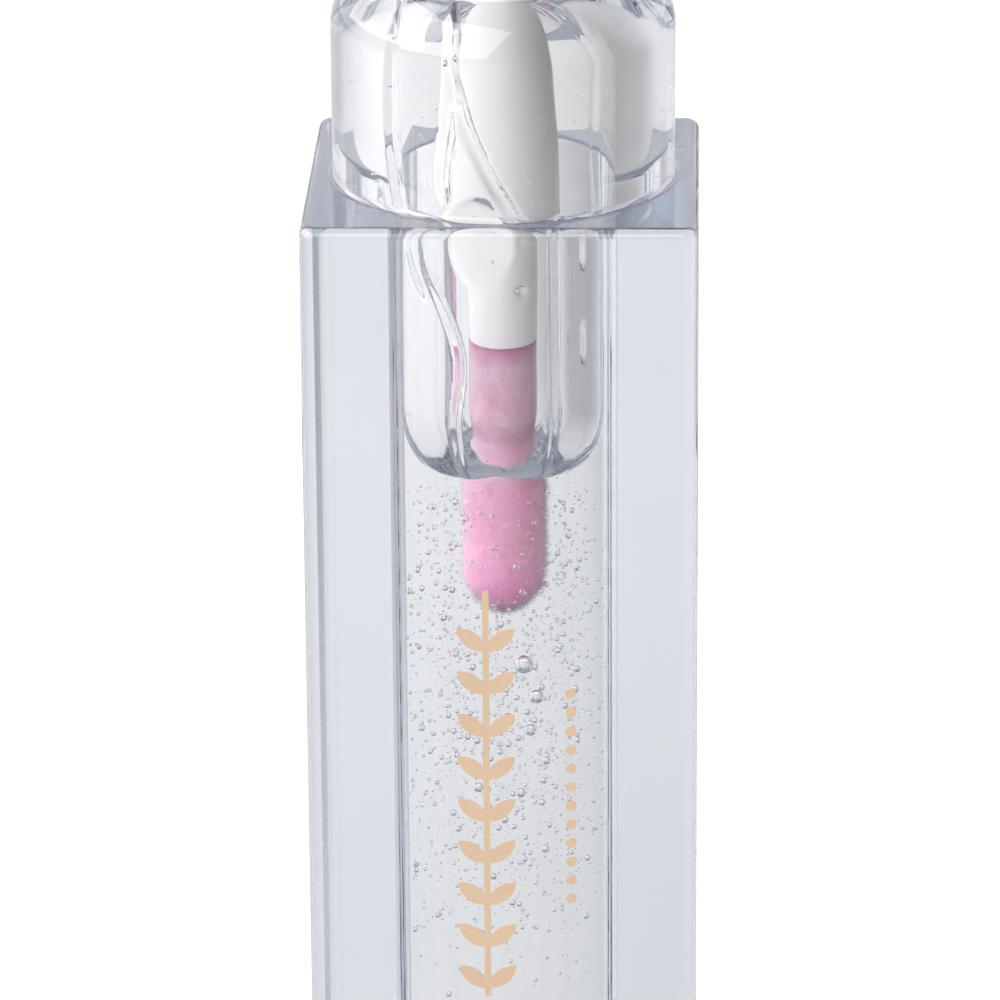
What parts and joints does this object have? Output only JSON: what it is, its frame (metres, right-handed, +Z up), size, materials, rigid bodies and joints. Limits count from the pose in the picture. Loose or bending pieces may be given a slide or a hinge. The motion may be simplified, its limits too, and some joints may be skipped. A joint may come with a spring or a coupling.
{
  "type": "lip gloss tube",
  "caption": "Square clear bottle of gloss with a round collar, threaded neck and wiper, and a square cap whose stem carries a flocked applicator tip.",
  "frame": {"origin": "centre of the bottle's base", "axes": "+Z up along the bottle, neck and wand; the printed front faces -Y"},
  "size_m": [0.018, 0.0181, 0.1164],
  "materials": {
    "bottle_plastic": "polished",
    "gloss_liquid": "polished",
    "print_ink": "matte",
    "wiper_plastic": "satin",
    "liner_foam": "matte",
    "stem_plastic": "gloss",
    "tip_core_plastic": "satin",
    "tip_fibre": "matte",
    "inner_cap_plastic": "satin",
    "outer_cap_plated": "polished"
  },
  "bodies": {
    "bottle": {"bottle": "bottle_plastic", "gloss": "gloss_liquid", "front_print": "print_ink", "wiper": "wiper_plastic"},
    "liner": {"liner": "liner_foam"},
    "applicator": {"stem": "stem_plastic", "tip_core": "tip_core_plastic", "tip_flock": "tip_fibre", "inner_cap": "inner_cap_plastic", "outer_cap": "outer_cap_plated"}
  },
  "joints": [
    {"name": "applicator_lift", "type": "slide", "parent": "bottle", "child": "liner", "axis": [0, 0, 1], "range_m": [-0.0261, 0.04], "deforming": ["gloss"]},
    {"name": "cap_turn", "type": "hinge", "parent": "liner", "child": "applicator", "pos_m": [0, 0, 0.1001], "axis": [0, 0, 1], "range_deg": [-720, 0]}
  ]
}
